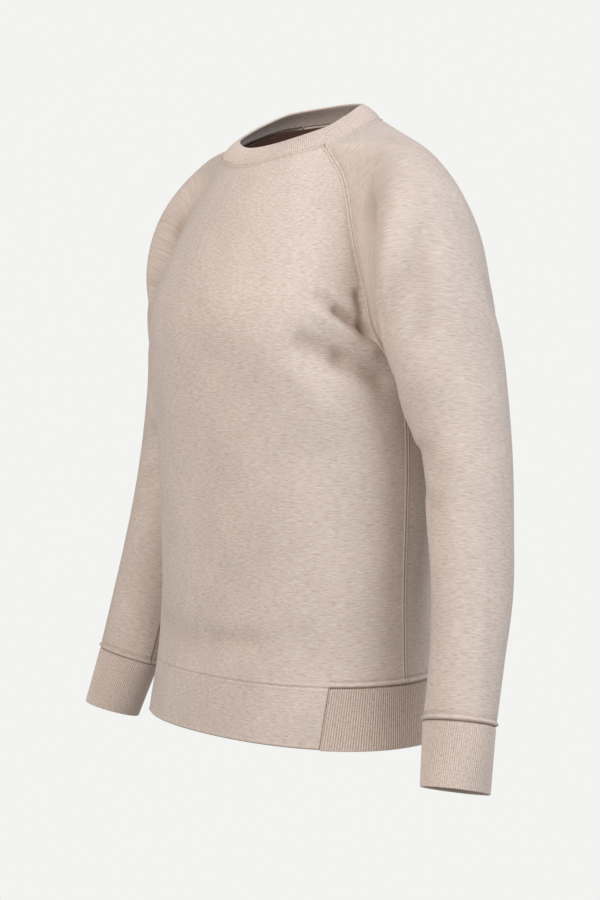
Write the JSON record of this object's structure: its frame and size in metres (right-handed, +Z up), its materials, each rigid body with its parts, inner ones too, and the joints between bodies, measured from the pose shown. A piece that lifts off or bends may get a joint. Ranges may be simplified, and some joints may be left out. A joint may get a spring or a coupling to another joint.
{
  "type": "crewneck sweatshirt",
  "caption": "Hollow knitted pullover with a round ribbed neck, raglan sleeves, ribbed cuffs and a ribbed band round the back and sides of its hem.",
  "frame": {"origin": "middle of the neck opening, at the height where the neck seam crosses the tops of the shoulders", "axes": "+Z up through the neck, -Y out of the front, +X to the wearer's left arm"},
  "size_m": [0.655, 0.2766, 0.7168],
  "materials": {
    "fleece": "matt heathered brushed-back knit",
    "rib": "matt heathered rib knit",
    "facing": "matt plain woven cloth"
  },
  "bodies": {
    "root": {"front": "fleece", "back": "fleece", "sleeve_left": "fleece", "sleeve_right": "fleece", "collar": "rib", "hem_rib": "rib", "cuff_left": "rib", "cuff_right": "rib", "neck_facing": "facing"}
  },
  "joints": []
}
